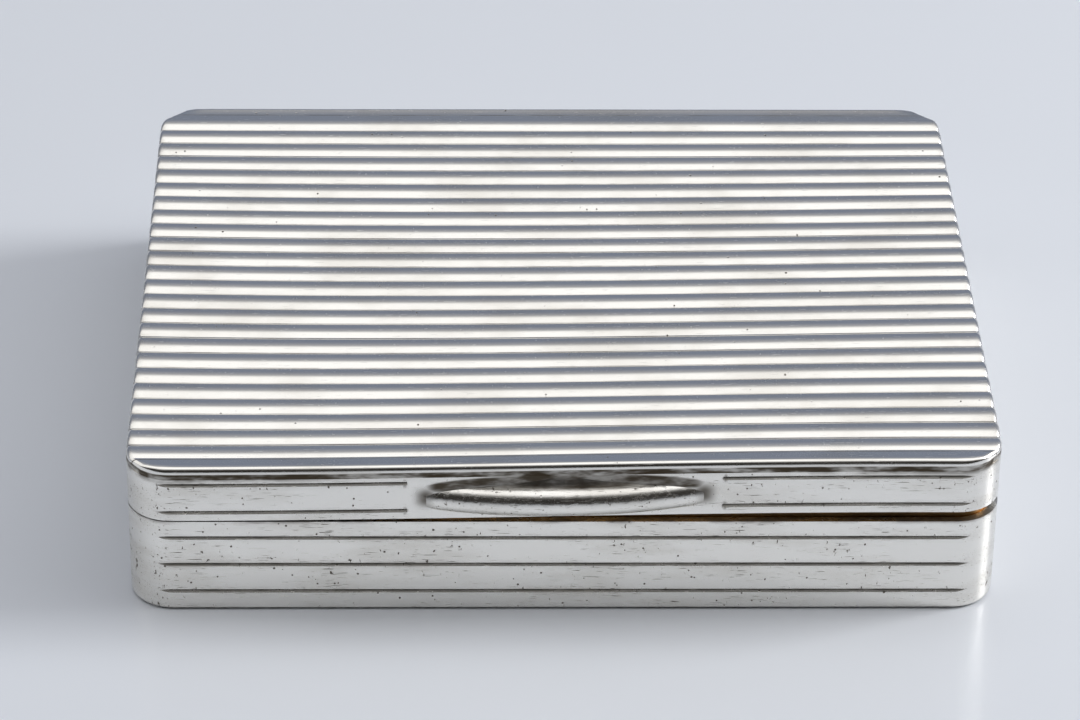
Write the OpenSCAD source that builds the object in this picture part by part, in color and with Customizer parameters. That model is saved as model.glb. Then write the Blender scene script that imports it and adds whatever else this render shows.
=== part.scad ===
// Pocket box of polished sheet metal with a reeded lid, hinged along its back.
// The origin is the centre of the underside, +Z is up, the thumbpiece faces -Y and the hinge is at +Y.

/* [Box] */
// Width across the front
box_w = 70; // [50:0.5:90]
// Depth from front to back
box_d = 59.4; // [45:0.1:75]
// Outer radius of the upright corners
corner_r = 3.55; // [3:0.05:5]
// Height of the base, up to its rim
base_h = 8.58; // [8:0.01:16]
// Thickness of the side walls
wall_t = 0.65; // [0.5:0.05:0.8]
// Thickness of the bottom plate
bottom_t = 0.7; // [0.6:0.05:1]
// Radius of the bottom plate's outer edge
bottom_edge_r = 0.5; // [0.2:0.05:0.55]

/* [Lid] */
// Height of the lid's side walls
lid_wall_h = 3.85; // [3.6:0.05:6]
// Thickness of the reeded plate at the bottom of a groove
lid_top_t = 0.65; // [0.5:0.05:1]
// Distance from one rib to the next
rib_pitch = 2.352; // [1.8:0.002:3]
// Height of a rib above the grooves beside it
rib_rise = 0.4; // [0.2:0.05:0.6]
// Share of a rib that is left at the front edge
front_rib_share = 0.75; // [0.3:0.05:0.95]
// Gap between the two rims where they meet at the hinge
rim_gap = 0.08; // [0.04:0.02:0.12]
// Angle at which the lid stands a little open
lid_ajar = 0.4; // [0:0.05:1]

/* [Engraved lines] */
// Depth of an engraved line
line_depth = 0.15; // [0.05:0.01:0.2]
// Width of an engraved line
line_w = 0.34; // [0.2:0.02:0.4]
// Lowest line of the base, above the underside
base_line_low = 1.89; // [1.5:0.01:2.5]
// Distance between the lines
line_step = 2.57; // [2:0.01:2.6]
// Lower line of the lid, above the lid's rim
lid_line_low = 0.77; // [0.4:0.01:0.9]
// Half the width of the plain panel round the thumbpiece
plain_panel = 12.55; // [12:0.05:16]

/* [Thumbpiece] */
// Half the length of the thumbpiece
thumb_half = 11.05; // [8:0.05:11.5]
// How far its lip stands out of the wall
lip_out = 1.4; // [1.3:0.05:1.5]
// Radius of the lip's rounded front
lip_r = 1.25; // [1.1:0.05:1.25]
// Height of the lip's centre above the lid's rim
lip_z = 1.6; // [1.5:0.05:1.8]
// Radius of the hollow sweep above the lip
cove_r = 1.2; // [1.1:0.05:1.4]

/* [Hinge] */
// Number of knuckles, an odd number
knuckles = 9; // [5:2:11]
// Outer radius of a knuckle
knuckle_r = 1.15; // [1:0.05:1.2]
// Radius of the hinge pin
pin_r = 0.5; // [0.4:0.05:0.55]
// How far the pin's axis is inside the back face
axis_in = 1; // [0.9:0.05:1.1]
// Running clearance round the pin
pin_clearance = 0.05; // [0.02:0.01:0.08]
// Clearance between a knuckle and what it turns against
knuckle_clearance = 0.1; // [0.06:0.01:0.12]
// Height of the relief above and below the axis, which sets how far the lid opens
relief = 1.35; // [1.3:0.05:1.45]
// Height of each hinge bearer
bearer_h = 2.1; // [1.9:0.05:2.3]
// Thickness of a bearer in front of the knuckles
bearer_t = 0.5; // [0.4:0.05:0.8]

/* [Bezel] */
// Thickness of the bezel
bezel_t = 0.45; // [0.3:0.05:0.6]
// How far the bezel stands above the base's rim
bezel_rise = 1.2; // [0.8:0.1:1.6]
// How far the bezel reaches down inside the base
bezel_drop = 3; // [2:0.1:4]
// Clearance between the bezel and the lid
bezel_clearance = 0.08; // [0.05:0.01:0.12]

/* [Hidden] */
$fn = 96;
base_knuckle_count = (knuckles + 1) / 2;
lid_knuckle_count = (knuckles - 1) / 2;
base_knuckle_names = [for (n = [1:base_knuckle_count]) str("base_knuckle_", n)];
lid_knuckle_names = [for (n = [1:lid_knuckle_count]) str("lid_knuckle_", n)];
// The outer knuckles run on into the corners, where they are filed to the outline
knuckle_pitch = (box_w - 2.2) / knuckles;

lid_z = base_h + rim_gap;
hinge_y = box_d / 2 - axis_in;
hinge_z = base_h + rim_gap / 2;
corner_x = box_w / 2 - corner_r;
corner_y = box_d / 2 - corner_r;
// A rib is an arc of this radius
rib_r = (pow(rib_pitch / 2, 2) + pow(rib_rise, 2)) / (2 * rib_rise);
rib_count = ceil(box_d / rib_pitch) + 1;
// The lip is swept round an upright axis this far behind its front edge, and its ends are cut blunt
sweep_half = thumb_half + 0.4;
sweep_r = (pow(sweep_half, 2) + pow(lip_out, 2)) / (2 * lip_out);
// Flats that round the bottom plate's edge
edge_steps = 6;
// How far a cutting shape runs past what it cuts
past = 1;

silver = [0.78, 0.78, 0.77];
worn_silver = [0.7, 0.7, 0.69];
gilt = [0.78, 0.62, 0.34];
steel = [0.5, 0.5, 0.52];

// Plan of the box, drawn in from its outer outline
module plan(inset = 0) {
    r = corner_r - inset;
    square([2 * (corner_x + r), 2 * corner_y], center = true);
    for (side = [-1, 1]) {
        translate([-corner_x, side > 0 ? corner_y : -corner_y - r]) square([2 * corner_x, r]);
        for (end = [-1, 1])
            translate([end * corner_x, side * corner_y])
                intersection() {
                    circle(r);
                    translate([end < 0 ? -r : 0, side < 0 ? -r : 0]) square(r);
                }
    }
}

// Upright wall that follows the plan
module band(height, inset, thickness) {
    linear_extrude(height)
        difference() {
            plan(inset);
            plan(inset + thickness);
        }
}

// Prism along X with a profile drawn in Y and Z
module along_x(length) {
    rotate([90, 0, 90]) linear_extrude(length, center = true) children();
}

// V-shaped cut along X into a face that looks towards -Y
module line_cut(length) {
    flare = (line_depth + past) / line_depth * line_w / 2;
    along_x(length) polygon([[line_depth, 0], [-past, flare], [-past, -flare]]);
}

// The same line on every side of the box. Each cut is straight, so it fades out past the corners.
module lines_round(front_halves = false, back = true) {
    if (front_halves) {
        part = box_w / 2 + past - plain_panel;
        for (end = [-1, 1])
            translate([end * (plain_panel + part / 2), -box_d / 2, 0]) line_cut(part);
    } else {
        translate([0, -box_d / 2, 0]) line_cut(box_w);
    }
    if (back) rotate(180) translate([0, -box_d / 2, 0]) line_cut(box_w);
    for (turn = [-90, 90]) rotate(turn) translate([0, -box_w / 2, 0]) line_cut(box_d);
}

// Cylinder on the hinge axis between two places along X
module on_axis(r, from, to) {
    translate([from, hinge_y, hinge_z]) rotate([0, 90, 0]) cylinder(r = r, h = to - from);
}

// Ends of knuckle i, counted from 0 at the left
function knuckle_from(i) = i == 0 ? -box_w / 2 - past : (i - knuckles / 2) * knuckle_pitch;
function knuckle_to(i) = i == knuckles - 1 ? box_w / 2 + past : (i + 1 - knuckles / 2) * knuckle_pitch;

// Trough for the knuckles. A body's own ones are soldered in it, and the others turn in it.
// The base owns the even knuckles and the lid the odd ones.
module trough(own) {
    for (i = [0:knuckles - 1])
        on_axis(knuckle_r + (i % 2 == own ? 0 : knuckle_clearance), knuckle_from(i), knuckle_to(i));
}

// Tube on the pin, number i from the left
module knuckle(i, bore_r) {
    gap = knuckle_clearance / 2;
    intersection() {
        difference() {
            on_axis(knuckle_r, knuckle_from(i) + gap, knuckle_to(i) - gap);
            on_axis(bore_r, knuckle_from(i) - past, knuckle_to(i) + past);
        }
        within_plan();
    }
}

// Everything inside the upright faces of the box, a little more at the back for the round knuckles
module within_plan(inset = 0) {
    linear_extrude(3 * base_h) {
        plan(inset);
        if (inset == 0) translate([-corner_x, corner_y]) square([2 * corner_x, 2 * corner_r]);
    }
}

// Turns the lid's pieces about the hinge to where the lid stands
module as_it_stands() {
    translate([0, hinge_y, hinge_z])
        rotate([-lid_ajar, 0, 0])
            translate([0, -hinge_y, -hinge_z])
                children();
}

// Room behind the axis for the other body's wall, below the axis (-1) or above it (1)
module back_relief(side) {
    translate([-box_w / 2 - past, hinge_y, hinge_z + (side < 0 ? -relief : -past)])
        cube([box_w + 2 * past, axis_in + past, relief + past]);
}

module base_wall() {
    color(silver)
        difference() {
            translate([0, 0, bottom_t]) band(base_h - bottom_t, 0, wall_t);
            // The top line stops at the back, where the hinge takes its place
            for (i = [0:2])
                translate([0, 0, base_line_low + i * line_step]) lines_round(back = i < 2);
            back_relief(-1);
            trough(own = 0);
        }
}

// Half section of the bottom plate's rounded edge, from the corner's centre outwards
function edge_section() = concat(
    [[0, bottom_t], [0, 0]],
    [for (i = [0:edge_steps])
        let (a = -90 + 90 * i / edge_steps)
            [corner_r - bottom_edge_r + bottom_edge_r * cos(a), bottom_edge_r + bottom_edge_r * sin(a)]],
    [[corner_r, bottom_t]]);

module base_plate() {
    color(worn_silver) {
        translate([-corner_x, -corner_y, 0]) cube([2 * corner_x, 2 * corner_y, bottom_t]);
        for (end = [-1, 1], side = [-1, 1])
            translate([end * corner_x, side * corner_y, 0])
                rotate(side > 0 ? (end > 0 ? 0 : 90) : (end > 0 ? 270 : 180))
                    rotate_extrude(angle = 90) polygon(edge_section());
        for (turn = [0, 180]) {
            rotate(turn) translate([0, corner_y, 0]) along_x(2 * corner_x) polygon(edge_section());
            rotate(turn + 90) translate([0, corner_x, 0]) along_x(2 * corner_y) polygon(edge_section());
        }
    }
}

module base_bezel() {
    color(gilt)
        intersection() {
            union() {
                translate([0, 0, base_h - bezel_drop]) band(bezel_drop, wall_t, bezel_t);
                translate([0, 0, base_h])
                    band(bezel_rise, wall_t + bezel_clearance, bezel_t - bezel_clearance);
            }
            // It stops at the back corners, in front of the hinge
            translate([-box_w / 2, -box_d / 2, 0]) cube([box_w, box_d / 2 + corner_y, 2 * base_h]);
        }
}

// Strip inside the back wall with a trough for the knuckles, below the axis (-1) or above it (1)
module bearer(side) {
    depth = knuckle_r + bearer_t;
    difference() {
        intersection() {
            translate([-box_w / 2, hinge_y - depth, side < 0 ? base_h - bearer_h : lid_z])
                cube([box_w, depth + axis_in, bearer_h]);
            within_plan(wall_t);
        }
        trough(own = side < 0 ? 0 : 1);
    }
}

module base_hinge_bearer() {
    color(worn_silver) bearer(-1);
}

module base_knuckle(n) {
    color(silver) knuckle(2 * (n - 1), pin_r);
}

module hinge_pin() {
    color(steel)
        intersection() {
            on_axis(pin_r, -box_w / 2, box_w / 2);
            within_plan();
        }
}

module lid_wall() {
    color(silver)
        as_it_stands()
            difference() {
                translate([0, 0, lid_z]) band(lid_wall_h, 0, wall_t);
                translate([0, 0, lid_z + lid_line_low]) lines_round(front_halves = true, back = false);
                translate([0, 0, lid_z + lid_line_low + line_step]) lines_round(front_halves = true);
                back_relief(1);
                trough(own = 1);
            }
}

// Section of the reeded plate in Y and Z, with its underside at 0
module reeded_section() {
    last_groove = -box_d / 2 + front_rib_share * rib_pitch;
    translate([-box_d / 2, 0]) square([box_d, lid_top_t]);
    intersection() {
        translate([-box_d / 2, lid_top_t / 2]) square([box_d, lid_top_t + rib_rise]);
        union() {
            for (i = [0:rib_count - 1])
                translate([last_groove + (i - 0.5) * rib_pitch, lid_top_t + rib_rise - rib_r]) circle(rib_r);
        }
    }
}

module lid_top() {
    color(silver)
        as_it_stands()
            intersection() {
                translate([0, 0, lid_z + lid_wall_h]) along_x(box_w) reeded_section();
                translate([0, 0, lid_z]) linear_extrude(2 * lid_wall_h) plan();
            }
}

// Section of the thumbpiece, with X the distance out of the wall and Y the height above the rim
module lip_section() {
    top = lid_wall_h - 0.1;
    translate([lip_out - lip_r, lip_z]) circle(lip_r);
    difference() {
        translate([0, lip_z]) square([lip_r / 2, top - lip_z]);
        translate([cove_r, top]) circle(cove_r);
    }
}

module thumbpiece() {
    sweep = asin(sweep_half / sweep_r) + 1;
    color(silver)
        as_it_stands()
            translate([0, -box_d / 2, lid_z])
                intersection() {
                    translate([0, sweep_r - lip_out, 0])
                        rotate(-90 - sweep)
                            rotate_extrude(angle = 2 * sweep, $fn = 360)
                                translate([sweep_r - lip_out, 0])
                                    intersection() {
                                        lip_section();
                                        square([2 * lip_out, lid_wall_h]);
                                    }
                    translate([-thumb_half, -2 * lip_out, 0]) cube([2 * thumb_half, 2 * lip_out, lid_wall_h]);
                }
}

module lid_hinge_bearer() {
    color(worn_silver) as_it_stands() bearer(1);
}

module lid_knuckle(n) {
    color(silver) knuckle(2 * n - 1, pin_r + pin_clearance);
}

base_wall();
base_plate();
base_bezel();
base_hinge_bearer();
for (n = [1:base_knuckle_count])
    base_knuckle(n);
hinge_pin();
lid_wall();
lid_top();
thumbpiece();
lid_hinge_bearer();
for (n = [1:lid_knuckle_count])
    lid_knuckle(n);
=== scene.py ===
"""Dressed scene of a shallow silver matchbox holder with a reeded, hinged lid."""
import logging
import math
from dataclasses import dataclass
from enum import Enum

import bmesh
import bpy
from mathutils import Matrix, Vector


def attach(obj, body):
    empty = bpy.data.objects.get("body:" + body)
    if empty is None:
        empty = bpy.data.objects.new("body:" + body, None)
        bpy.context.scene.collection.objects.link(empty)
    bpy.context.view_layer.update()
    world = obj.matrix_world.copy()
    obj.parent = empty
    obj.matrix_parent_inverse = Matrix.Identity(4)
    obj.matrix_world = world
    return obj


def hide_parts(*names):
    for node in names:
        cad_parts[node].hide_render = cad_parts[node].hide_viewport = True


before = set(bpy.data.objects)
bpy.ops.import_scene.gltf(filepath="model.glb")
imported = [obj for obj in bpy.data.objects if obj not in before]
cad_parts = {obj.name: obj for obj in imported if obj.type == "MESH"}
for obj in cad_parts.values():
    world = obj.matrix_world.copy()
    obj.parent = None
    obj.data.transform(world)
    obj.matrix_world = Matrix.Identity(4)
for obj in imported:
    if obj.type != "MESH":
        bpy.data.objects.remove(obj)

LOG = logging.getLogger("matchbox_holder")
MM = 0.001
CLOSED_HEIGHT = "closed_height"
Point = tuple[float, float, float]
Span = tuple[float, float]
Colour = tuple[float, float, float]


class Value:
    """A shader socket that takes part in arithmetic."""

    def __init__(self, graph: "Graph", socket: bpy.types.NodeSocket | None) -> None:
        """Keep the graph and the socket."""
        self.graph = graph
        self.socket = socket

    def maths(self, operation: str, *others: "Value | float") -> "Value":
        """Apply a Math node.

        Args:
            operation: the Math node's operation.
            others: the further operands.

        Returns:
            The node's result.
        """
        return self.graph.node("ShaderNodeMath", {"operation": operation}, [self, *others])

    def __add__(self, other: "Value | float") -> "Value":
        """Return self + other."""
        return self.maths("ADD", other)

    def __sub__(self, other: "Value | float") -> "Value":
        """Return self - other."""
        return self.maths("SUBTRACT", other)

    def __mul__(self, other: "Value | float") -> "Value":
        """Return self * other."""
        return self.maths("MULTIPLY", other)

    def __rsub__(self, other: float) -> "Value":
        """Return other - self."""
        return self.graph.node("ShaderNodeMath", {"operation": "SUBTRACT"}, [other, self])

    __radd__ = __add__
    __rmul__ = __mul__

    def __abs__(self) -> "Value":
        """Return the value without its sign."""
        return self.maths("ABSOLUTE")

    def larger(self, other: "Value | float") -> "Value":
        """Return the larger of the two values."""
        return self.maths("MAXIMUM", other)

    def between(self, low: float, high: float) -> "Value":
        """Rise smoothly from 0 at low to 1 at high.

        Args:
            low: the value that gives 0.
            high: the value that gives 1, which may be below low.

        Returns:
            The smoothed value.
        """
        settings = {"interpolation_type": "SMOOTHSTEP"}
        return self.graph.node("ShaderNodeMapRange", settings, [self, low, high])


class Graph:
    """One node tree, built from expressions."""

    def __init__(self, tree: bpy.types.NodeTree) -> None:
        """Empty the tree and keep it."""
        tree.nodes.clear()
        self.tree = tree

    def node(self, kind: str, settings: dict, inputs: "list | dict", output: "int | str" = 0) -> Value:
        """Add a node.

        Args:
            kind: the node's type.
            settings: its properties, set first.
            inputs: values or links, in order or by socket name or number.
            output: which output to return.

        Returns:
            The chosen output.
        """
        made = self.tree.nodes.new(kind)
        for key, value in settings.items():
            setattr(made, key, value)
        pairs = inputs.items() if isinstance(inputs, dict) else enumerate(inputs)
        for key, value in pairs:
            if isinstance(value, Value):
                self.tree.links.new(value.socket, made.inputs[key])
            else:
                made.inputs[key].default_value = value
        return Value(self, made.outputs[output] if made.outputs else None)

    def place(self) -> Value:
        """Return the object's own coordinates in millimetres."""
        local = self.node("ShaderNodeTexCoord", {}, [], "Object")
        return self.node("ShaderNodeVectorMath", {"operation": "SCALE"}, {0: local, 3: 1 / MM})

    def axes(self, vector: Value) -> tuple[Value, ...]:
        """Return the three components of a vector."""
        split = self.node("ShaderNodeSeparateXYZ", {}, [vector])
        return tuple(Value(self, socket) for socket in split.socket.node.outputs)

    def noise(self, vector: Value, grain: Point, detail: float = 3.0) -> Value:
        """Add a noise texture.

        Args:
            vector: where it is read.
            grain: its frequency along each axis, per millimetre.
            detail: octaves.

        Returns:
            The noise, about 0.5 on average.
        """
        moved = self.node("ShaderNodeVectorMath", {"operation": "MULTIPLY"}, [vector, grain])
        values = {"Vector": moved, "Scale": 1.0, "Detail": detail, "Roughness": 0.55}
        return self.node("ShaderNodeTexNoise", {}, values)

    def blend(self, factor: Value, first: "Value | Colour", second: "Value | Colour") -> Value:
        """Mix two colours.

        Args:
            factor: 0 for the first, 1 for the second.
            first: a colour or a link.
            second: a colour or a link.

        Returns:
            The mixed colour.
        """
        factor_socket, first_socket, second_socket, colour_result = 0, 6, 7, 2
        inputs: dict = {factor_socket: factor}
        for socket, value in ((first_socket, first), (second_socket, second)):
            inputs[socket] = value if isinstance(value, Value) else (*value, 1.0)
        return self.node("ShaderNodeMix", {"data_type": "RGBA"}, inputs, colour_result)


@dataclass(frozen=True)
class Sizes:
    """The box's driving dimensions, in millimetres, and what follows from them."""

    width: float = 70.0
    depth: float = 59.4
    corner: float = 3.55
    base_high: float = 8.58
    rim_gap: float = 0.08
    lid_wall_high: float = 3.85
    sheet: float = 0.65
    rib_pitch: float = 2.352
    rib_rise: float = 0.4
    front_share: float = 0.75
    edge_round: float = 0.38
    axis_y: float = 28.7
    axis_z: float = 8.62
    ajar_deg: float = 0.4
    base_lines: tuple[float, ...] = (1.89, 4.46, 7.03)
    lid_lines_up: tuple[float, ...] = (0.77, 3.34)
    line_half: float = 0.17
    panel_half: float = 12.55
    thumb_half: float = 11.05
    thumb_middle_up: float = 1.94
    crest_up: float = 2.81

    @property
    def rim(self) -> float:
        """Height of the closed lid's lower edge."""
        return self.base_high + self.rim_gap

    @property
    def plate_low(self) -> float:
        """Height of the lid plate's underside."""
        return self.rim + self.lid_wall_high

    @property
    def groove(self) -> float:
        """Height of the grooves between the ribs."""
        return self.plate_low + self.sheet

    @property
    def lid_lines(self) -> tuple[float, ...]:
        """Heights of the lid's engraved lines."""
        return tuple(self.rim + up for up in self.lid_lines_up)

    @property
    def crest(self) -> float:
        """Height of the thumbpiece's crest."""
        return self.rim + self.crest_up

    @property
    def first_groove(self) -> float:
        """Depth place of the frontmost groove."""
        return -self.depth / 2 + self.front_share * self.rib_pitch

    @property
    def rib_radius(self) -> float:
        """Radius of a rib's section."""
        half = self.rib_pitch / 2
        return (half * half + self.rib_rise**2) / (2 * self.rib_rise)

    @property
    def ajar(self) -> Span:
        """Cosine and sine of the angle by which the lid stands open at rest."""
        angle = math.radians(self.ajar_deg)
        return math.cos(angle), math.sin(angle)


@dataclass(frozen=True)
class Site:
    """The coordinates, in millimetres, that a surface's tarnish and painted shade are worked out from.

    The heights of the lid's pieces are also kept as they are on a true, closed lid, so that
    what follows an engraved line stays on it where the lid is bent.
    """

    graph: Graph
    where: Value
    across: Value
    depth: Value
    height: Value
    closed: Value
    uneven: Value

    @classmethod
    def read(cls, graph: Graph, where: Value) -> "Site":
        """Add the nodes that give the coordinates.

        Args:
            graph: the tree that is built.
            where: object coordinates.

        Returns:
            The site.
        """
        across, depth, height = graph.axes(where)
        closed = graph.node("ShaderNodeAttribute", {"attribute_name": CLOSED_HEIGHT}, [], "Fac")
        grain, span = (0.35, 0.9, 1.3), (0.3, 0.62)
        uneven = graph.noise(where, grain).between(*span)
        return cls(graph, where, across, depth, height, closed, uneven)

    def patchy(self, least: float, more: float) -> Value:
        """Return a strength that varies from least to least + more."""
        return least + more * self.uneven


@dataclass(frozen=True)
class PlainTarnish:
    """A thin, uneven film."""

    film: float = 0.15

    def gather(self, site: Site, size: Sizes) -> Value:
        """Return the film's strength."""
        return site.uneven * self.film


@dataclass(frozen=True)
class ReedTarnish:
    """Dark grooves between the ribs, stained sides and a dark edge under the ribs' ends."""

    groove: Span = (0.455, 0.498)
    groove_strength: Span = (0.3, 0.5)
    side: Span = (0.9, 0.1)
    side_strength: float = 0.3
    edge: Span = (0.08, 0.22)
    edge_strength: Span = (0.45, 0.5)

    def gather(self, site: Site, size: Sizes) -> Value:
        """Return the tarnish.

        Args:
            site: the surface's coordinates.
            size: the box's sizes.

        Returns:
            A value from 0 to 1.
        """
        turn = ((site.depth - size.first_groove) * (1 / size.rib_pitch)).maths("FRACT")
        groove = abs(turn - 0.5).between(*self.groove) * site.patchy(*self.groove_strength)
        outer, inner = (size.width / 2 - inset for inset in self.side)
        side = abs(site.across).between(outer, inner) * site.uneven * self.side_strength
        top, low = (size.groove - drop for drop in self.edge)
        edge = site.closed.between(top, low) * site.patchy(*self.edge_strength)
        return groove.larger(side).larger(edge)


@dataclass(frozen=True)
class ThumbpieceShadeAndTarnish:
    """Painted shade in the scoop above the crest, made patchy like tarnish, and stained tips."""

    # The darkening above the crest is painted shade of the scoop.
    crest: Span = (-0.12, 0.1)
    scoop_shade_strength: Span = (0.55, 0.3)
    tip: float = 1.2
    tip_strength: float = 0.4

    def gather(self, site: Site, size: Sizes) -> Value:
        """Return the painted shade and the tarnish.

        Args:
            site: the surface's coordinates.
            size: the box's sizes.

        Returns:
            A value from 0 to 1.
        """
        low, high = (size.crest + up for up in self.crest)
        # Painted shade in the scoop above the crest, patchy like tarnish.
        scoop_shade = site.closed.between(low, high) * site.patchy(*self.scoop_shade_strength)
        tips = abs(site.across).between(size.thumb_half - self.tip, size.thumb_half)
        return scoop_shade.larger(tips * self.tip_strength)


@dataclass(frozen=True)
class LineTarnishAndShade:
    """Engraved lines, dark in their bottoms, with stain and painted shade beside them, that fade out at
    the corners.
    """

    core_share: float = 0.3
    # Beside each line the darkening is partly stain and partly painted shade of the groove's softened
    # edges.
    stain_and_shade_reach: float = 4.5
    stain_and_shade_strength: float = 0.45
    line_strength: Span = (0.14, 0.42)
    corner_fade: float = 2.0

    def stroke(self, site: Site, size: Sizes, away: Value) -> Value:
        """Return one line's tarnish, with the painted shade beside it.

        Args:
            site: the surface's coordinates.
            size: the box's sizes.
            away: height above or below the line.

        Returns:
            A value from 0 to 1.
        """
        core = away.between(size.line_half, size.line_half * self.core_share)
        # Stain and painted shade beside the line.
        return core.larger(away.between(size.line_half * self.stain_and_shade_reach, 0.0) * self.stain_and_shade_strength)

    def lines(self, site: Site, size: Sizes, level: Value, heights: tuple[float, ...]) -> Value:
        """Return the tarnish and painted shade of all the lines.

        Args:
            site: the surface's coordinates.
            size: the box's sizes.
            level: the height that the lines follow.
            heights: the lines' heights.

        Returns:
            A value from 0 to 1.
        """
        strokes = [self.stroke(site, size, abs(level - line)) for line in heights]
        total = strokes[0]
        for stroke in strokes[1:]:
            total = total.larger(stroke)
        turn_x, turn_y = size.width / 2 - size.corner, size.depth / 2 - size.corner
        beside = abs(site.across).between(turn_x, turn_x + self.corner_fade)
        corner = beside * abs(site.depth).between(turn_y, turn_y + self.corner_fade)
        return total * site.patchy(*self.line_strength) * (1.0 - corner)


@dataclass(frozen=True)
class BaseWallTarnishAndShade(LineTarnishAndShade):
    """The base's lines with their painted shade, and a stained foot and rim."""

    foot: Span = (0.9, 0.1)
    rim: Span = (0.5, 0.05)
    strength: float = 0.5

    def gather(self, site: Site, size: Sizes) -> Value:
        """Return the tarnish, with the painted shade beside the lines.

        Args:
            site: the surface's coordinates.
            size: the box's sizes.

        Returns:
            A value from 0 to 1.
        """
        total = self.lines(site, size, site.height, size.base_lines)
        low, high = (size.rim - drop for drop in self.rim)
        for band in (site.height.between(*self.foot), site.height.between(low, high)):
            total = total.larger(band * site.uneven * self.strength)
        return total


@dataclass(frozen=True)
class LidWallTarnishAndShade(LineTarnishAndShade):
    """The lid's lines with their end ticks, the band under its edge, the stain round the thumbpiece's
    tips, and painted shade in the hollow above the thumbpiece.
    """

    tick: float = 0.2
    tick_reach: float = 1.6
    tick_high: Span = (0.62, 0.2)
    front_inset: Span = (1.1, 0.5)
    panel_fade: float = 0.2
    band: Span = (-0.75, 0.25)
    band_strength: Span = (0.3, 0.7)
    band_middle: float = 0.25
    band_sides: Span = (10.0, 32.0)
    band_side_gain: float = 0.6
    halo_reach: float = 1.6
    halo_high: Span = (1.5, 0.2)
    halo_strength: float = 0.75
    # The scoop values place painted shade in the hollow above the thumbpiece.
    scoop_half: float = 11.7
    scoop_fade: float = 1.6
    scoop_base_up: float = 2.79
    scoop_rise: float = 1.26
    scoop_edge: Span = (-0.08, 0.2)
    scoop_foot: Span = (-0.6, -0.1)
    scoop_shade_strength: Span = (0.55, 0.35)

    def stroke(self, site: Site, size: Sizes, away: Value) -> Value:
        """Return one line's tarnish and painted shade, with the ticks where it ends beside the plain
        panel.

        Args:
            site: the surface's coordinates.
            size: the box's sizes.
            away: height above or below the line.

        Returns:
            A value from 0 to 1.
        """
        past = abs(site.across) - (size.panel_half + self.tick)
        tick = abs(past).between(self.tick * self.tick_reach, 0.0) * away.between(*self.tick_high)
        return super().stroke(site, size, away).larger(tick)

    def edge_band(self, site: Site, size: Sizes) -> Value:
        """Return the band under the lid's upper edge, which is strongest at the sides.

        Args:
            site: the surface's coordinates.
            size: the box's sizes.

        Returns:
            A value from 0 to 1.
        """
        low, high = (size.plate_low + up for up in self.band)
        outer = self.band_middle + abs(site.across).between(*self.band_sides) * self.band_side_gain
        return site.closed.between(low, high) * site.patchy(*self.band_strength) * outer

    def halo(self, site: Site, size: Sizes) -> Value:
        """Return the soft stain round the thumbpiece's tips.

        Args:
            site: the surface's coordinates.
            size: the box's sizes.

        Returns:
            A value from 0 to 1.
        """
        beside = abs(abs(site.across) - size.thumb_half).between(self.halo_reach, 0.0)
        level = abs(site.closed - (size.rim + size.thumb_middle_up))
        return beside * level.between(*self.halo_high) * self.halo_strength

    def scoop_shade(self, site: Site, size: Sizes) -> Value:
        """Return the painted shade of the hollow above the thumbpiece, under an elliptical arc, made
        patchy like tarnish.

        Args:
            site: the surface's coordinates.
            size: the box's sizes.

        Returns:
            A value from 0 to 1.
        """
        base = size.rim + self.scoop_base_up
        share = site.across * (1 / self.scoop_half)
        arc = (1.0 - share * share).larger(0.0).maths("SQRT") * self.scoop_rise + base
        inside = (arc - site.closed).between(*self.scoop_edge)
        ends = abs(site.across).between(self.scoop_half, self.scoop_half - self.scoop_fade)
        low, high = (base + up for up in self.scoop_foot)
        return inside * ends * site.closed.between(low, high) * site.patchy(*self.scoop_shade_strength)

    def gather(self, site: Site, size: Sizes) -> Value:
        """Return the tarnish and the painted shade.

        Args:
            site: the surface's coordinates.
            size: the box's sizes.

        Returns:
            A value from 0 to 1.
        """
        inner, outer = (inset - size.depth / 2 for inset in self.front_inset)
        front = site.depth.between(inner, outer)
        panel = abs(site.across).between(size.panel_half, size.panel_half - self.panel_fade) * front
        total = self.lines(site, size, site.closed, size.lid_lines) * (1.0 - panel)
        total = total.larger(self.edge_band(site, size))
        # Then the stain round the thumbpiece's tips and the painted shade in the hollow above it.
        return total.larger(self.halo(site, size) * front).larger(self.scoop_shade(site, size) * front)


class Ground(Enum):
    """Which part of the box a silver surface belongs to, with where its tarnish and painted shade
    gather.
    """

    REEDS = ReedTarnish()
    LID_WALL = LidWallTarnishAndShade()
    BASE_WALL = BaseWallTarnishAndShade()
    THUMBPIECE = ThumbpieceShadeAndTarnish()
    PLAIN = PlainTarnish()


class Finish:
    """What the object's metals share."""

    def metal(self, graph: Graph, colour: Value, rough: Value, height: Value, strength: float,
              deep: float) -> None:
        """Add a metal's shader and its output.

        Args:
            graph: the material's tree.
            colour: base colour.
            rough: roughness.
            height: relief for the bump.
            strength: the bump's strength.
            deep: the relief's depth in metres.
        """
        inputs = {"Strength": strength, "Distance": deep, "Height": height}
        bump = graph.node("ShaderNodeBump", {}, inputs)
        surface = {"Base Color": colour, "Metallic": 1.0, "Roughness": rough, "Normal": bump}
        shader = graph.node("ShaderNodeBsdfPrincipled", {}, surface)
        graph.node("ShaderNodeOutputMaterial", {}, {"Surface": shader})


def new_material(name: str) -> tuple[bpy.types.Material, Graph]:
    """Make an empty material.

    Args:
        name: the material's name.

    Returns:
        The material and its graph.
    """
    material = bpy.data.materials.new(name)
    material.use_nodes = True
    return material, Graph(material.node_tree)


@dataclass(frozen=True)
class Wear:
    """How marked a silver surface is by use.

    The scratches set in lower in their noise by the ease, scored is how dark they are, and pits
    gather where their own noise rises through the patches.
    """

    ease: float
    scored: float
    patches: Span


KEPT_TOP = Wear(0.0, 0.15, (0.54, 0.64))
HANDLED_WALL = Wear(0.04, 0.8, (0.40, 0.54))


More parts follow.
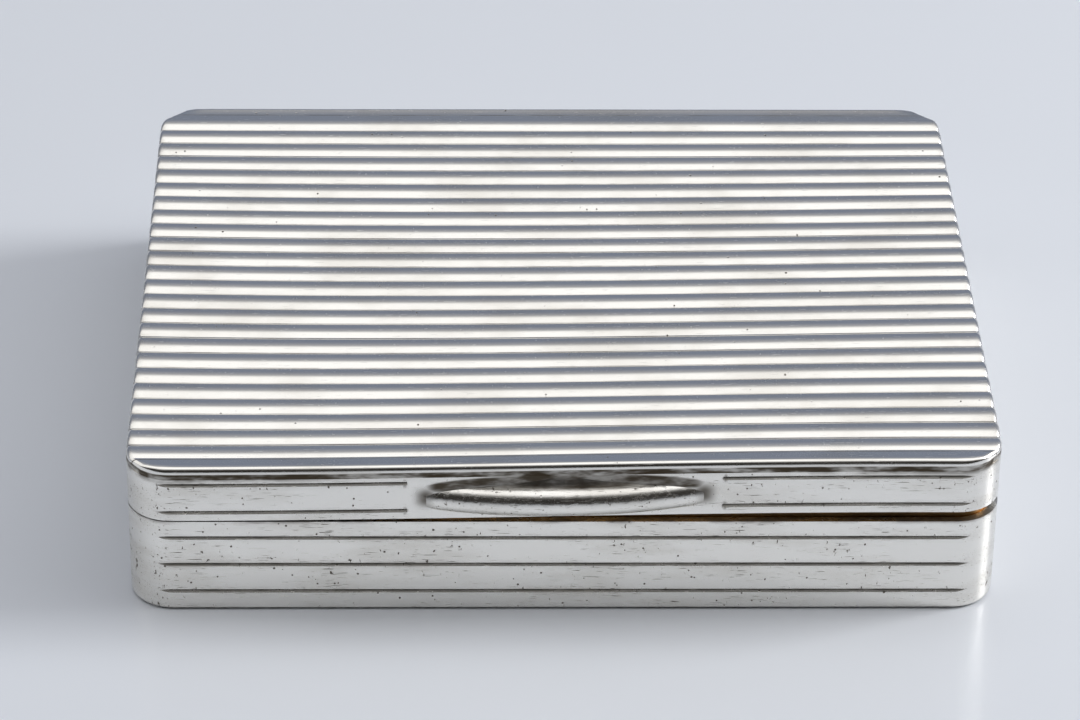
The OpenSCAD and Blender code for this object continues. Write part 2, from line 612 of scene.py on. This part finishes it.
@dataclass(frozen=True)
class WornSilver(Finish):
    """Polished old silver, scratched and pitted, with brown tarnish where cloth doesn't reach, and the
    same dark colour painted as shade beside the engraved lines and above the thumbpiece.
    """

    ground: Ground
    metal_colour: Colour = (0.89, 0.872, 0.828)
    shade: Colour = (0.70, 0.67, 0.61)
    # This dark colour serves for tarnish and also for painted shade.
    tarnish_and_shade_colour: Colour = (0.072, 0.055, 0.035)
    roughness: float = 0.13
    tarnished_roughness: float = 0.5
    dull_span: Span = (0.3, 0.7)
    dull_cloud: float = 0.09
    dull_fine: float = 0.04
    dull_scratch: float = 0.1
    shade_span: Span = (0.42, 0.72)
    shade_strength: float = 0.55
    scored_span: Span = (0.42, 0.58)
    pit_deep: float = 0.00003
    pits_per_mm: float = 1.15
    pit_span: Span = (0.15, 0.06)
    pit_ragged: float = 0.16
    pit_strength: float = 0.8
    patch_grain: Point = (0.3, 0.3, 0.6)
    cloud_grain: Point = (0.12, 0.16, 0.5)
    fine_grain: Point = (5.0, 5.0, 5.0)
    wave_grain: Point = (0.28, 0.28, 0.28)
    along_grain: Point = (0.6, 14.0, 14.0)
    along_span: Span = (0.66, 0.75)
    slant_grain: Point = (2.6, 3.0, 1.3)
    slant_span: Span = (0.69, 0.74)
    bump: float = 0.55
    wave_high: float = 0.4
    scratch_deep: float = 0.2
    fine_high: float = 0.02

    @property
    def wear(self) -> Wear:
        """Return this surface's wear: the lid's top is better kept than the walls."""
        return KEPT_TOP if self.ground is Ground.REEDS else HANDLED_WALL

    def scratches(self, graph: Graph, where: Value) -> Value:
        """Return fine scratches along the width, with short ones at a slant.

        Args:
            graph: the tree that is built.
            where: object coordinates in millimetres.

        Returns:
            A value from 0 to 1.
        """
        low, high = (edge - self.wear.ease for edge in self.along_span)
        along = graph.noise(where, self.along_grain, detail=2.0).between(low, high)
        low, high = (edge - self.wear.ease for edge in self.slant_span)
        return along.larger(graph.noise(where, self.slant_grain, detail=3.0).between(low, high))

    def pits(self, graph: Graph, where: Value, fine: Value) -> Value:
        """Return ragged pits, in patches.

        Args:
            graph: the tree that is built.
            where: object coordinates in millimetres.
            fine: the fine noise that makes them ragged.

        Returns:
            A value from 0 to 1.
        """
        cells = {"Vector": where, "Scale": self.pits_per_mm, "Randomness": 1.0}
        away = graph.node("ShaderNodeTexVoronoi", {}, cells, "Distance") + (fine - 0.5) * self.pit_ragged
        patches = graph.noise(where, self.patch_grain).between(*self.wear.patches)
        return away.between(*self.pit_span) * patches

    def build(self, size: Sizes) -> bpy.types.Material:
        """Make the material.

        Args:
            size: the box's sizes.

        Returns:
            The finished material.
        """
        material, graph = new_material(f"worn_silver_{self.ground.name.lower()}")
        where = graph.place()
        cloud = graph.noise(where, self.cloud_grain, detail=4.0)
        fine = graph.noise(where, self.fine_grain, detail=2.0)
        scratches = self.scratches(graph, where)
        pits = self.pits(graph, where, fine)
        # The ground's tarnish, with painted shade beside the lines and above the thumbpiece.
        tarnish_and_painted_shade = self.ground.value.gather(Site.read(graph, where), size)
        scored = scratches * cloud.between(*self.scored_span) * self.wear.scored
        dark = tarnish_and_painted_shade.larger(pits * self.pit_strength).larger(scored)
        shaded = cloud.between(*self.shade_span) * self.shade_strength
        skin = graph.blend(shaded, self.metal_colour, self.shade)
        colour = graph.blend(dark.between(0.0, 1.0), skin, self.tarnish_and_shade_colour)
        rough = self.roughness + cloud.between(*self.dull_span) * self.dull_cloud
        rough = rough + fine * self.dull_fine + scratches * self.dull_scratch
        rough = rough + dark * (self.tarnished_roughness - self.roughness)
        wave = graph.noise(where, self.wave_grain, detail=1.0)
        relief = wave * self.wave_high - pits - scratches * self.scratch_deep + fine * self.fine_high
        self.metal(graph, colour, rough, relief, self.bump, self.pit_deep)
        return material


@dataclass(frozen=True)
class WornGilt(Finish):
    """Thin gilding, rubbed and browned."""

    gold: Colour = (0.76, 0.55, 0.27)
    brown: Colour = (0.30, 0.18, 0.085)
    cloud_grain: Point = (0.11, 0.11, 0.5)
    cloud_span: Span = (0.36, 0.80)
    cloud_share: float = 0.85
    fine_grain: Point = (4.0, 4.0, 4.0)
    fine_span: Span = (0.5, 0.8)
    fine_share: float = 0.15
    roughness: float = 0.24
    dull_cloud: float = 0.25
    bump: float = 0.4
    relief_deep: float = 0.00004

    def build(self) -> bpy.types.Material:
        """Make the material.

        Returns:
            The finished material.
        """
        material, graph = new_material("worn_gilt")
        where = graph.place()
        cloud = graph.noise(where, self.cloud_grain, detail=6.0)
        fine = graph.noise(where, self.fine_grain, detail=3.0)
        browned = cloud.between(*self.cloud_span) * self.cloud_share
        browned = browned + fine.between(*self.fine_span) * self.fine_share
        colour = graph.blend(browned, self.gold, self.brown)
        rough = self.roughness + cloud * self.dull_cloud
        self.metal(graph, colour, rough, fine, self.bump, self.relief_deep)
        return material


@dataclass(frozen=True)
class DrawnWire(Finish):
    """Steel wire with fine marks from the draw plate."""

    steel: Colour = (0.52, 0.51, 0.49)
    stain: Colour = (0.2, 0.16, 0.12)
    marks_grain: Point = (0.3, 12.0, 12.0)
    stain_grain: Point = (0.8, 2.0, 2.0)
    stain_span: Span = (0.5, 0.7)
    roughness: float = 0.25
    dull_marks: float = 0.2
    bump: float = 0.4
    relief_deep: float = 0.00003

    def build(self) -> bpy.types.Material:
        """Make the material.

        Returns:
            The finished material.
        """
        material, graph = new_material("drawn_wire")
        where = graph.place()
        marks = graph.noise(where, self.marks_grain)
        stained = graph.noise(where, self.stain_grain).between(*self.stain_span)
        colour = graph.blend(stained, self.steel, self.stain)
        rough = self.roughness + marks * self.dull_marks
        self.metal(graph, colour, rough, marks, self.bump, self.relief_deep)
        return material


@dataclass(frozen=True)
class PaleFloor:
    """A pale, slightly glossy floor with faint clouds in its tone."""

    tone: Colour = (0.77, 0.80, 0.85)
    dimmer: float = 0.97
    grain: Point = (0.02, 0.02, 0.02)
    roughness: float = 0.28
    dull_cloud: float = 0.06

    def build(self) -> bpy.types.Material:
        """Make the material.

        Returns:
            The finished material.
        """
        material, graph = new_material("pale_floor")
        cloud = graph.noise(graph.place(), self.grain)
        tone = graph.blend(cloud, self.tone, tuple(part * self.dimmer for part in self.tone))
        surface = {"Base Color": tone, "Roughness": self.roughness + cloud * self.dull_cloud}
        shader = graph.node("ShaderNodeBsdfPrincipled", {}, surface)
        graph.node("ShaderNodeOutputMaterial", {}, {"Surface": shader})
        return material


@dataclass(frozen=True)
class Plan:
    """The rounded rectangle that the box fills, seen from above."""

    size: Sizes

    def half_width(self, depth: float) -> float:
        """Measure the outline across.

        Args:
            depth: place along the depth.

        Returns:
            Half the outline's width there.
        """
        size = self.size
        past = abs(depth) - (size.depth / 2 - size.corner)
        if past <= 0:
            return size.width / 2
        return size.width / 2 - size.corner + math.sqrt(max(size.corner**2 - past**2, 0.0))

    def edge_distance(self, across: float, depth: float) -> float:
        """Measure how far inside the outline a point is.

        Args:
            across: place along the width.
            depth: place along the depth.

        Returns:
            The distance to the outline, below 0 outside it.
        """
        size = self.size
        over_x = abs(across) - (size.width / 2 - size.corner)
        over_y = abs(depth) - (size.depth / 2 - size.corner)
        if over_x > 0 and over_y > 0:
            return size.corner - math.hypot(over_x, over_y)
        return size.corner - max(over_x, over_y)


@dataclass(frozen=True)
class LidStance:
    """How the lid stands at rest: a little open, twisted up at its front right and slightly dished."""

    size: Sizes
    twist: float = 0.385
    sag: float = 1.535
    skew: float = -0.314
    crown: float = -1.600

    def bend(self, across: float, depth: float) -> float:
        """Measure how far the worn lid stands above a true one.

        Args:
            across: place along the width.
            depth: place along the depth.

        Returns:
            The rise, below 0 where the lid is dished.
        """
        size = self.size
        ahead = min(max((size.axis_y - depth) / (size.axis_y + size.depth / 2), 0.0), 1.0)
        side = max(-1.0, min(1.0, across * 2 / size.width))
        bow = side * side - 1
        edge_rise = self.twist * side + self.sag * bow + self.skew * side * bow
        return ahead * edge_rise + ahead**2 * self.crown * bow

    def place(self, across: float, depth: float, height: float) -> Point:
        """Take a point of the closed, true lid to where it stands.

        Args:
            across: place along the width.
            depth: place along the depth.
            height: place upwards.

        Returns:
            The point in metres.
        """
        size = self.size
        cos, sin = size.ajar
        back, up = depth - size.axis_y, height + self.bend(across, depth) - size.axis_z
        return (across * MM, (size.axis_y + back * cos + up * sin) * MM,
                (size.axis_z - back * sin + up * cos) * MM)

    def closed_height(self, depth: float, height: float) -> float:
        """Close the true lid.

        Args:
            depth: place along the depth, where the lid stands ajar.
            height: place upwards, where the lid stands ajar.

        Returns:
            The point's height on the closed lid.
        """
        size = self.size
        cos, sin = size.ajar
        return size.axis_z + (depth - size.axis_y) * sin + (height - size.axis_z) * cos


def add_lid_piece(name: str, mesh: bpy.types.Mesh, node: str, heights: list[float]) -> bpy.types.Object:
    """Put a new piece of the lid in the scene.

    Args:
        name: the piece's name.
        mesh: its mesh.
        node: the node that it replaces.
        heights: the height of each vertex on a true, closed lid.

    Returns:
        The piece.
    """
    layer = mesh.attributes.new(CLOSED_HEIGHT, "FLOAT", "POINT")
    layer.data.foreach_set("value", heights)
    piece = bpy.data.objects.new(name, mesh)
    bpy.context.scene.collection.objects.link(piece)
    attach(piece, "lid")
    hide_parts(node)
    LOG.info("built %s", name)
    return piece


@dataclass(frozen=True)
class TwistedLidPiece:
    """A piece of the lid made from its solid, cut finely across and bent as the worn lid is."""

    node: str
    stance: LidStance
    cuts: int = 70
    weld: float = 1e-8

    def build(self, material: bpy.types.Material) -> bpy.types.Object:
        """Make the piece.

        Args:
            material: its finish.

        Returns:
            The piece.
        """
        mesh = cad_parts[self.node].data.copy()
        half = self.stance.size.width / 2 * MM
        work = bmesh.new()
        work.from_mesh(mesh)
        for cut in range(1, self.cuts):
            at = -half + 2 * half * cut / self.cuts
            parts = [*work.verts, *work.edges, *work.faces]
            bmesh.ops.bisect_plane(work, geom=parts, plane_co=(at, 0, 0), plane_no=(1, 0, 0),
                                   dist=self.weld)
        heights = []
        for vert in work.verts:
            across, depth, height = (value / MM for value in vert.co)
            heights.append(self.stance.closed_height(depth, height))
            vert.co.z += self.stance.bend(across, depth) * MM
        work.to_mesh(mesh)
        work.free()
        mesh.materials.clear()
        mesh.materials.append(material)
        return add_lid_piece(f"{self.node}_bent", mesh, self.node, heights)


@dataclass(frozen=True)
class LidTop:
    """The reeded plate of the lid, its ribs rounded down at the edges."""

    size: Sizes
    plan: Plan
    stance: LidStance
    rows_per_rib: int = 16
    inner_columns: int = 40
    edge_steps: tuple[float, ...] = (0.0, 0.02, 0.06, 0.12, 0.2, 0.3, 0.42, 0.8, 2.0)
    sharp_deg: float = 28.0

    def surface(self, across: float, depth: float) -> float:
        """Measure the top's height on a true, closed lid.

        Args:
            across: place along the width.
            depth: place along the depth.

        Returns:
            The height of the ribs there.
        """
        size = self.size
        turn = (depth - size.first_groove) / size.rib_pitch
        off = (turn - math.floor(turn) - 0.5) * size.rib_pitch
        height = size.groove + math.sqrt(size.rib_radius**2 - off**2) - (size.rib_radius - size.rib_rise)
        edge = max(self.plan.edge_distance(across, depth), 0.0)
        if edge < size.edge_round:
            height -= size.edge_round - math.sqrt(size.edge_round**2 - (size.edge_round - edge) ** 2)
        return height

    def depths(self) -> list[float]:
        """Return the depth places of the grid's rows."""
        count = round(self.size.depth / self.size.rib_pitch * self.rows_per_rib)
        return self.spread(self.size.depth / 2, count)

    def columns(self, depth: float) -> list[float]:
        """Return the places across a row."""
        return self.spread(self.plan.half_width(depth), self.inner_columns)

    def spread(self, half: float, count: int) -> list[float]:
        """Return places from -half to half, close together at both ends.

        Args:
            half: half the length.
            count: number of even steps in the middle.

        Returns:
            The places in rising order.
        """
        inner = half - self.edge_steps[-1]
        middle = [-inner + 2 * inner * step / count for step in range(count + 1)]
        start = [-half + step for step in self.edge_steps[:-1]]
        return start + middle + [-value for value in reversed(start)]

    def faces(self, wide: int, long: int) -> list[tuple[int, ...]]:
        """Join the upper and the lower sheet, and the skirt between them.

        Args:
            wide: points in a row.
            long: rows.

        Returns:
            The faces, as numbers of points.
        """
        sheet = wide * long
        made: list[tuple[int, ...]] = []
        for row in range(long - 1):
            for col in range(wide - 1):
                near, far = row * wide + col, (row + 1) * wide + col
                made.append((near, near + 1, far + 1, far))
                made.append((near + sheet, far + sheet, far + 1 + sheet, near + 1 + sheet))
        loop = [*range(wide - 1), *(row * wide + wide - 1 for row in range(long - 1)),
                *((long - 1) * wide + col for col in range(wide - 1, 0, -1)),
                *(row * wide for row in range(long - 1, 0, -1))]
        for here, there in zip(loop, loop[1:] + loop[:1]):
            made.append((here, here + sheet, there + sheet, there))
        return made

    def build(self, silver: bpy.types.Material, gilt: bpy.types.Material) -> bpy.types.Object:
        """Make the plate.

        Args:
            silver: the finish of the outside.
            gilt: the finish of the underside.

        Returns:
            The piece.
        """
        depths = self.depths()
        points: list[Point] = []
        heights: list[float] = []
        for under in (False, True):
            for depth in depths:
                for across in self.columns(depth):
                    height = self.size.plate_low if under else self.surface(across, depth)
                    points.append(self.stance.place(across, depth, height))
                    heights.append(height)
        wide, long = len(self.columns(0.0)), len(depths)
        mesh = bpy.data.meshes.new("lid_top_reeded")
        mesh.from_pydata(points, [], self.faces(wide, long))
        mesh.materials.append(silver)
        mesh.materials.append(gilt)
        for polygon in mesh.polygons:
            polygon.use_smooth = True
            polygon.material_index = int(min(polygon.vertices) >= wide * long)
        mesh.set_sharp_from_angle(angle=math.radians(self.sharp_deg))
        return add_lid_piece("lid_top_reeded", mesh, "lid_top", heights)


@dataclass(frozen=True)
class Sky:
    """Light from all round: white overhead, grey at the back and dark behind the camera.

    A turn is the height of a direction over the front, as a share of half a circle: 0 is the
    horizon in front, 0.5 is straight up and 1 is the horizon at the back.
    """

    white: Colour = (1.15, 1.15, 1.16)
    white_rise: Span = (0.30, 0.41)
    white_fall: Span = (0.68, 0.60)
    front_low: Colour = (0.030, 0.028, 0.026)
    front_high: Colour = (0.36, 0.36, 0.36)
    front_rise: Span = (0.21, 0.38)
    back_high: Colour = (0.42, 0.42, 0.44)
    back_low: Colour = (0.20, 0.23, 0.30)
    back_fall: Span = (0.62, 0.85)
    change: Span = (0.42, 0.60)
    right_gain: float = 0.18

    def build(self) -> None:
        """Make the scene's world."""
        world = bpy.data.worlds.new("studio")
        bpy.context.scene.world = world
        world.use_nodes = True
        graph = Graph(world.node_tree)
        side, away, up = graph.axes(graph.node("ShaderNodeTexCoord", {}, [], "Generated"))
        turn = up.maths("ARCTAN2", away * -1.0) * (1 / math.pi)
        white = turn.between(*self.white_rise) * turn.between(*self.white_fall)
        ahead = graph.blend(turn.between(*self.front_rise), self.front_low, self.front_high)
        behind = graph.blend(turn.between(*self.back_fall), self.back_high, self.back_low)
        grey = graph.blend(turn.between(*self.change), ahead, behind)
        tone = graph.blend(white, grey, self.white)
        strength = 1.0 + side * self.right_gain
        shader = graph.node("ShaderNodeBackground", {}, [tone, strength])
        graph.node("ShaderNodeOutputWorld", {}, {"Surface": shader})


@dataclass(frozen=True)
class Studio:
    """Floor, lamp and camera. Lengths are in metres."""

    floor_size: float = 6.0
    key_power: float = 2.9
    key_size: float = 0.25
    key_place: Point = (0.62, 0.08, 0.42)
    focal_px: float = 4507.8
    frame_px: float = 1080.0
    sensor_mm: float = 36.0
    clip_start: float = 0.01
    eye: Point = (-0.0100988, -0.3279097, 0.210217)
    down_deg: float = 32.0
    yaw_deg: float = 1.5262
    roll_deg: float = -0.8219

    def camera(self) -> None:
        """Place the camera at the photograph's angle."""
        down, yaw, roll = (math.radians(angle) for angle in (self.down_deg, self.yaw_deg, self.roll_deg))
        ahead = Vector((math.sin(yaw) * math.cos(down), math.cos(yaw) * math.cos(down), -math.sin(down)))
        level = Vector((math.cos(yaw), -math.sin(yaw), 0.0))
        below = ahead.cross(level)
        right = math.cos(roll) * level + math.sin(roll) * below
        under = -math.sin(roll) * level + math.cos(roll) * below
        lens = bpy.data.cameras.new("camera")
        lens.sensor_width = self.sensor_mm
        lens.lens = self.focal_px / self.frame_px * self.sensor_mm
        lens.clip_start = self.clip_start
        made = bpy.data.objects.new("camera", lens)
        turned = Matrix((right, -under, -ahead)).transposed().to_4x4()
        made.matrix_world = Matrix.Translation(self.eye) @ turned
        bpy.context.scene.collection.objects.link(made)
        bpy.context.scene.camera = made

    def floor(self) -> None:
        """Lay the floor."""
        half = self.floor_size / 2
        corners = [(-half, -half, 0), (half, -half, 0), (half, half, 0), (-half, half, 0)]
        mesh = bpy.data.meshes.new("floor")
        mesh.from_pydata(corners, [], [(0, 1, 2, 3)])
        mesh.materials.append(PaleFloor().build())
        made = bpy.data.objects.new("floor", mesh)
        bpy.context.scene.collection.objects.link(made)

    def key(self) -> None:
        """Hang the soft key lamp high on the right."""
        lamp = bpy.data.lights.new("key", "AREA")
        lamp.energy = self.key_power
        lamp.size = self.key_size
        made = bpy.data.objects.new("key", lamp)
        made.location = self.key_place
        made.rotation_euler = (-Vector(self.key_place)).to_track_quat("-Z", "Y").to_euler()
        bpy.context.scene.collection.objects.link(made)

    def build(self) -> None:
        """Set up everything round the object."""
        self.floor()
        self.key()
        self.camera()
        bpy.context.scene.view_settings.view_transform = "Standard"


@dataclass(frozen=True)
class Lid:
    """The lid's new pieces: its reeded top, its wall and its thumbpiece."""

    size: Sizes

    def build(self, silver: dict[Ground, bpy.types.Material], gilt: bpy.types.Material) -> set[str]:
        """Make the pieces.

        Args:
            silver: the silver finish of each kind of surface.
            gilt: the finish of the inside.

        Returns:
            The nodes that they replace.
        """
        stance = LidStance(self.size)
        LidTop(self.size, Plan(self.size), stance).build(silver[Ground.REEDS], gilt)
        bent = {"lid_wall": Ground.LID_WALL, "thumbpiece": Ground.THUMBPIECE}
        for node, ground in bent.items():
            TwistedLidPiece(node, stance).build(silver[ground])
        return {"lid_top", *bent}


@dataclass(frozen=True)
class CarriedOver:
    """The nodes that are shown as their solids are, with a finish each."""

    # The bezel's gilt colours are far darker than the other gilt's: painted shade of the narrow gap
    # between lid and base, over its browning.
    bezel_gold_in_painted_shade: Colour = (0.34, 0.19, 0.07)
    bezel_brown_in_painted_shade: Colour = (0.04, 0.026, 0.015)

    def dress(self, silver: dict[Ground, bpy.types.Material], gilt: bpy.types.Material,
              replaced: set[str]) -> None:
        """Give each node its finish.

        Args:
            silver: the silver finish of each kind of surface.
            gilt: the finish of the bearers.
            replaced: the nodes that new pieces replace.
        """
        special = {
            "base_wall": silver[Ground.BASE_WALL],
            # The bezel's dark gilt is painted shade of the gap.
            "base_bezel": WornGilt(gold=self.bezel_gold_in_painted_shade, brown=self.bezel_brown_in_painted_shade).build(),
            "base_hinge_bearer": gilt,
            "lid_hinge_bearer": gilt,
            "hinge_pin": DrawnWire().build(),
        }
        for name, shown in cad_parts.items():
            if name in replaced:
                continue
            material = special.get(name, silver[Ground.PLAIN])
            shown.data.materials.clear()
            shown.data.materials.append(material)
            LOG.info("dressed %s with %s", name, material.name)


def main() -> None:
    """Build the scene."""
    logging.basicConfig(level=logging.INFO)
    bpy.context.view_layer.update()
    size = Sizes()
    silver = {ground: WornSilver(ground).build(size) for ground in Ground}
    gilt = WornGilt().build()
    replaced = Lid(size).build(silver, gilt)
    CarriedOver().dress(silver, gilt, replaced)
    Sky().build()
    Studio().build()


if __name__ == "__main__":
    main()
